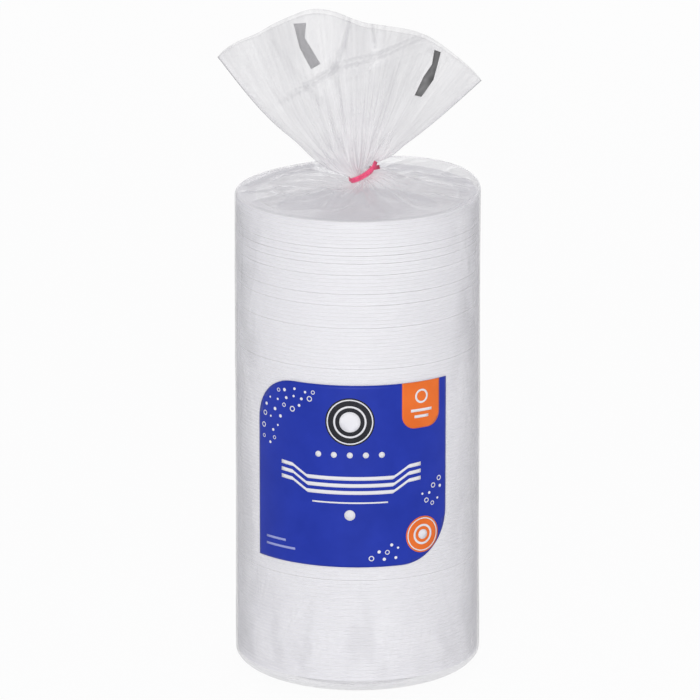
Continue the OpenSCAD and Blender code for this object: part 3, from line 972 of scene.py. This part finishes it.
def lay_on_label(tree, given, real):
    """Moves flat points onto the label: a ray from outside finds the label's own surface."""
    nodes = tree.nodes
    flat = nodes.new("GeometryNodeInputPosition")
    parts = nodes.new("ShaderNodeSeparateXYZ")
    link_nodes(tree, flat, "Position", parts, "Vector")
    angle = maths(tree, "DIVIDE", parts.outputs["X"], given.outputs["Wall radius"])
    angle = maths(tree, "SUBTRACT", angle, given.outputs["Label turn"])
    away = nodes.new("ShaderNodeCombineXYZ")
    tree.links.new(maths(tree, "SINE", angle), away.inputs["X"])
    back = maths(tree, "MULTIPLY", maths(tree, "COSINE", angle), -1)
    tree.links.new(back, away.inputs["Y"])
    start = nodes.new("ShaderNodeVectorMath")
    start.operation = "SCALE"
    link_nodes(tree, away, "Vector", start, 0)
    tree.links.new(maths(tree, "MULTIPLY", given.outputs["Wall radius"], 1.2),
                   start.inputs["Scale"])
    lift = nodes.new("ShaderNodeCombineXYZ")
    tree.links.new(maths(tree, "ADD", parts.outputs["Y"], given.outputs["Label middle"]),
                   lift.inputs["Z"])
    origin = nodes.new("ShaderNodeVectorMath")
    link_nodes(tree, start, 0, origin, 0)
    link_nodes(tree, lift, 0, origin, 1)
    towards = nodes.new("ShaderNodeVectorMath")
    towards.operation = "SCALE"
    towards.inputs["Scale"].default_value = -1
    link_nodes(tree, away, "Vector", towards, 0)
    label = nodes.new("GeometryNodeObjectInfo")
    link_nodes(tree, given, "Label", label, "Object")
    ray = nodes.new("GeometryNodeRaycast")
    link_nodes(tree, label, "Geometry", ray, "Target Geometry")
    link_nodes(tree, origin, 0, ray, "Source Position")
    link_nodes(tree, towards, 0, ray, "Ray Direction")
    ray.inputs["Ray Length"].default_value = 0.1
    rise = nodes.new("ShaderNodeVectorMath")
    rise.operation = "SCALE"
    link_nodes(tree, away, "Vector", rise, 0)
    tree.links.new(maths(tree, "ADD", parts.outputs["Z"], given.outputs["Proud"]),
                   rise.inputs["Scale"])
    final = nodes.new("ShaderNodeVectorMath")
    link_nodes(tree, ray, "Hit Position", final, 0)
    link_nodes(tree, rise, 0, final, 1)
    move = nodes.new("GeometryNodeSetPosition")
    link_nodes(tree, real, "Geometry", move, "Geometry")
    link_nodes(tree, final, 0, move, "Position")
    ink = nodes.new("GeometryNodeSetMaterial")
    link_nodes(tree, move, "Geometry", ink, "Geometry")
    link_nodes(tree, given, "Ink", ink, "Material")
    out = nodes.new("NodeGroupOutput")
    link_nodes(tree, ink, "Geometry", out, "Confetti")


def grown(piece, tree, values):
    """Runs a geometry tree on a piece and leaves the result as its plain mesh."""
    modifier = piece.modifiers.new("grow", "NODES")
    modifier.node_group = tree
    for item in tree.interface.items_tree:
        if item.item_type == "SOCKET" and item.in_out == "INPUT" and item.name in values:
            modifier[item.identifier] = values[item.name]
    graph = bpy.context.evaluated_depsgraph_get()
    result = bpy.data.meshes.new_from_object(piece.evaluated_get(graph))
    piece.modifiers.remove(modifier)
    result.name = piece.name
    piece.data = result
    return piece


def make_confetti(label, ink):
    points = []
    faces = []
    for outline in confetti_patches():
        first = len(points)
        points += [(x, y, 0) for x, y in outline]
        faces.append(tuple(range(first, len(points))))
    confetti = new_mesh("label_confetti", points, faces)
    grown(confetti, confetti_tree(), {
        "Label": label, "Ink": ink, "Spacing": 4.7 * MM, "Dot radius": 0.95 * MM,
        "Thickness": 0.03 * MM, "Proud": 0.05 * MM, "Wall radius": BAG_R * MM,
        "Label turn": LABEL_TURN, "Label middle": (LABEL_FOOT + LABEL_H / 2) * MM, "Seed": 5,
    })
    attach(confetti, "root")


def make_label(inks):
    label = laid_piece("label_field", [label_outline()], LABEL_LAY, inks["blue"],
                       ["front_label"])
    spot_x = LABEL_W / 2 - SPOT_INSET
    spot_y = SPOT_INSET - LABEL_H / 2
    laid_piece("label_tab_and_spot", [tab_outline(), disc(spot_x, spot_y, SPOT_R)], PRINT_LAY,
               inks["orange"], ["label_accents"])
    laid_piece("label_roundel", [disc(0, EMBLEM_Y, EMBLEM_R, 64)], PRINT_LAY,
               inks["dark"], ["label_emblem"])
    marks = [plate_mark(TITLE_Y - 4.6 * k) for k in range(3)]
    marks += [disc(10 * k, TITLE_Y + 7, 1.9, 20) for k in range(-2, 3)]
    marks += [bar(0, TITLE_Y - 24, 48, 1), disc(0, TITLE_Y - 32, 3.4, 32)]
    laid_piece("label_plates_mark", marks, PRINT_LAY, inks["white"],
               ["label_pictogram"])
    tab_x = LABEL_W / 2 - 6 - TAB_W / 2
    tab_y = LABEL_H / 2 - TAB_H / 2
    fine = [(disc(0, EMBLEM_Y, EMBLEM_R - 0.9, 64), [disc(0, EMBLEM_Y, EMBLEM_R - 1.7, 64)]),
            (disc(0, EMBLEM_Y, 10.4, 56), [disc(0, EMBLEM_Y, 9.2, 56)]),
            disc(0, EMBLEM_Y, 6.6, 40),
            (disc(spot_x, spot_y, SPOT_R - 1.0, 56), [disc(spot_x, spot_y, SPOT_R - 1.7, 56)]),
            (disc(spot_x, spot_y, 6.6, 40), [disc(spot_x, spot_y, 5.2, 40)]),
            disc(spot_x, spot_y, 3.2, 28),
            (disc(tab_x, tab_y + 5.5, 4.6, 36), [disc(tab_x, tab_y + 5.5, 3.3, 36)]),
            bar(tab_x, tab_y - 3.5, 15, 1.8), bar(tab_x, tab_y - 7.5, 10, 1.8)]
    laid_piece("label_rings", fine, FINE_LAY, inks["white"])
    left = 7 - LABEL_W / 2
    low = 9 - LABEL_H / 2
    thin = [bar(left + 8, low + 4.6, 16, 1.5), bar(left + 11.5, low, 23, 1.5)]
    laid_piece("label_thin_bars", thin, PRINT_LAY, inks["pale"])
    make_confetti(label, inks["white"])


# Two plain grey bars printed on the tail, as (x, z): one on its back layer, seen through the
# front, and one on its front layer.
BACK_BAR = [(-40.0, 413.6), (-36.2, 398.2), (-29.1, 384.6), (-23.1, 388.0), (-33.0, 404.6),
            (-32.0, 414.1)]
FRONT_BAR = [(47.9, 398.5), (46.4, 389.8), (41.0, 382.2), (35.6, 371.1), (39.8, 369.8),
             (47.3, 380.3), (51.9, 397.0)]


def on_tail(film, side):
    """Lays points of (x, z) on the film's tail: side -1 is its front and 1 its back."""
    corners = [vertex.co.copy() for vertex in film.data.vertices]
    skin = BVHTree.FromPolygons(corners, [tuple(f.vertices) for f in film.data.polygons])
    far = 0.3

    def place(x, z, proud):
        points = []
        for px, pz in zip(x, z):
            start = Vector((px * MM, side * far, pz * MM))
            hit, normal, _, _ = skin.ray_cast(start, Vector((0, -side, 0)))
            out = normal if normal.y * side > 0 else -normal
            points.append(tuple(hit / MM + out * proud))
        return np.array(points)

    return place


def make_tail_bars(film, inks):
    laid_piece("tail_back_print", [BACK_BAR], TAIL_LAY, inks["back"],
               ["tail_bar_back"], on_tail(film, 1))
    laid_piece("tail_front_print", [FRONT_BAR], TAIL_LAY, inks["grey"],
               ["tail_bar_front"], on_tail(film, -1))


# The stage


def area_light(name, place, target, size, power, colour):
    data = bpy.data.lights.new(name, "AREA")
    data.shape = "RECTANGLE"
    data.size = size[0]
    data.size_y = size[1]
    data.energy = power
    data.color = colour
    lamp = bpy.data.objects.new(name, data)
    lamp.location = place
    lamp.rotation_mode = "QUATERNION"
    lamp.rotation_quaternion = (Vector(target) - Vector(place)).to_track_quat("-Z", "Y")
    bpy.context.scene.collection.objects.link(lamp)


def make_lights():
    middle = (0, 0, 0.2)
    area_light("front_softbox", (-0.1, -2.7, 0.75), middle, (1.8, 1.8), 32, (1, 1, 0.985))
    area_light("top_softbox", (0.1, 0.3, 2.0), middle, (1.4, 1.4), 1, (1, 1, 1))
    area_light("back_softbox", (0.3, 2.7, 0.5), middle, (1.8, 1.8), 9, (1, 1, 1))


def camera_ray_share(material_tree):
    """1 where the ray comes from the camera, a mirror or clear film, and 0 for the light."""
    nodes = material_tree.nodes
    links = material_tree.links
    path = nodes.new("ShaderNodeLightPath")
    share = path.outputs["Is Camera Ray"]
    for name in ("Is Glossy Ray", "Is Transmission Ray"):
        larger = nodes.new("ShaderNodeMath")
        larger.operation = "MAXIMUM"
        links.new(share, larger.inputs[0])
        links.new(path.outputs[name], larger.inputs[1])
        share = larger.outputs[0]
    return share


def make_world():
    world = bpy.data.worlds.new("pale_room")
    bpy.context.scene.world = world
    world.use_nodes = True
    tree = world.node_tree
    tree.nodes.clear()
    seen = tree.nodes.new("ShaderNodeBackground")
    seen.inputs[0].default_value = (1, 1, 1, 1)
    seen.inputs[1].default_value = 1
    light = tree.nodes.new("ShaderNodeBackground")
    light.inputs[0].default_value = (0.955, 0.945, 1, 1)
    light.inputs[1].default_value = 0.6
    mix = tree.nodes.new("ShaderNodeMixShader")
    out = tree.nodes.new("ShaderNodeOutputWorld")
    tree.links.new(camera_ray_share(tree), mix.inputs[0])
    tree.links.new(light.outputs[0], mix.inputs[1])
    tree.links.new(seen.outputs[0], mix.inputs[2])
    tree.links.new(mix.outputs[0], out.inputs[0])


def make_floor():
    """A plain pale floor that shows as white and keeps the sleeve's shadow."""
    mesh = bpy.data.meshes.new("floor")
    s = 8.0
    z = -0.0004
    mesh.from_pydata([(-s, -s, z), (s, -s, z), (s, s, z), (-s, s, z)], [], [(0, 1, 2, 3)])
    floor = bpy.data.objects.new("floor", mesh)
    bpy.context.scene.collection.objects.link(floor)
    material = bpy.data.materials.new("pale_floor")
    material.use_nodes = True
    tree = material.node_tree
    tree.nodes.clear()
    matte = tree.nodes.new("ShaderNodeBsdfDiffuse")
    matte.inputs[0].default_value = (0.9, 0.9, 0.9, 1)
    glow = tree.nodes.new("ShaderNodeEmission")
    glow.inputs[1].default_value = 1.0
    share = tree.nodes.new("ShaderNodeMath")
    share.operation = "MULTIPLY"
    share.inputs[1].default_value = 0.94
    tree.links.new(camera_ray_share(tree), share.inputs[0])
    mix = tree.nodes.new("ShaderNodeMixShader")
    out = tree.nodes.new("ShaderNodeOutputMaterial")
    tree.links.new(share.outputs[0], mix.inputs[0])
    tree.links.new(matte.outputs[0], mix.inputs[1])
    tree.links.new(glow.outputs[0], mix.inputs[2])
    tree.links.new(mix.outputs[0], out.inputs[0])
    mesh.materials.append(material)


def make_camera():
    """A long lens, a little above the sleeve, as in the photograph."""
    data = bpy.data.cameras.new("camera")
    distance = 4.4
    rise = math.radians(15.75)
    pixels_per_metre = 1586.0
    data.sensor_width = 36
    data.lens = pixels_per_metre * distance * 36 / 700
    data.clip_start = 0.1
    data.clip_end = 60
    camera = bpy.data.objects.new("camera", data)
    camera.location = (-0.00473, -distance * math.cos(rise), 0.2054 + distance * math.sin(rise))
    camera.rotation_mode = "XYZ"
    camera.rotation_euler = (math.pi / 2 - rise, 0, 0)
    bpy.context.scene.collection.objects.link(camera)
    bpy.context.scene.camera = camera


def paint_node(name, material):
    """Gives a CAD node its finish."""
    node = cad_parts[name]
    node.data.materials.clear()
    node.data.materials.append(material)


def main():
    scene = bpy.context.scene
    scene.view_settings.view_transform = "Standard"
    scene.cycles.transparent_max_bounces = 32
    make_camera()
    make_world()
    make_lights()
    make_floor()
    inks = {
        "blue": ink_material("blue_ink", (0.010, 0.031, 0.36), (0.014, 0.038, 0.41), 0.3),
        "orange": ink_material("orange_ink", (0.82, 0.155, 0.02), (0.9, 0.19, 0.03), 0.3),
        "grey": ink_material("grey_ink", (0.06, 0.06, 0.06), (0.28, 0.28, 0.28), 0.4),
        "back": ink_material("back_ink", (0.02, 0.02, 0.02), (0.12, 0.12, 0.12), 0.4),
        "pale": ink_material("pale_ink", (0.3, 0.34, 0.7), (0.4, 0.44, 0.78), 0.35),
        "dark": ink_material("dark_ink", (0.012, 0.013, 0.018), (0.02, 0.021, 0.028), 0.25),
        "white": ink_material("white_ink", (0.82, 0.82, 0.86), (0.88, 0.88, 0.9), 0.35),
    }
    foam = foam_material()
    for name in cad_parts:
        if name.startswith("plates_"):
            paint_node(name, foam)
    film = make_film()
    film.data.materials.append(film_material())
    paint_node("twist_tie", tie_material())
    make_label(inks)
    make_tail_bars(film, inks)


main()
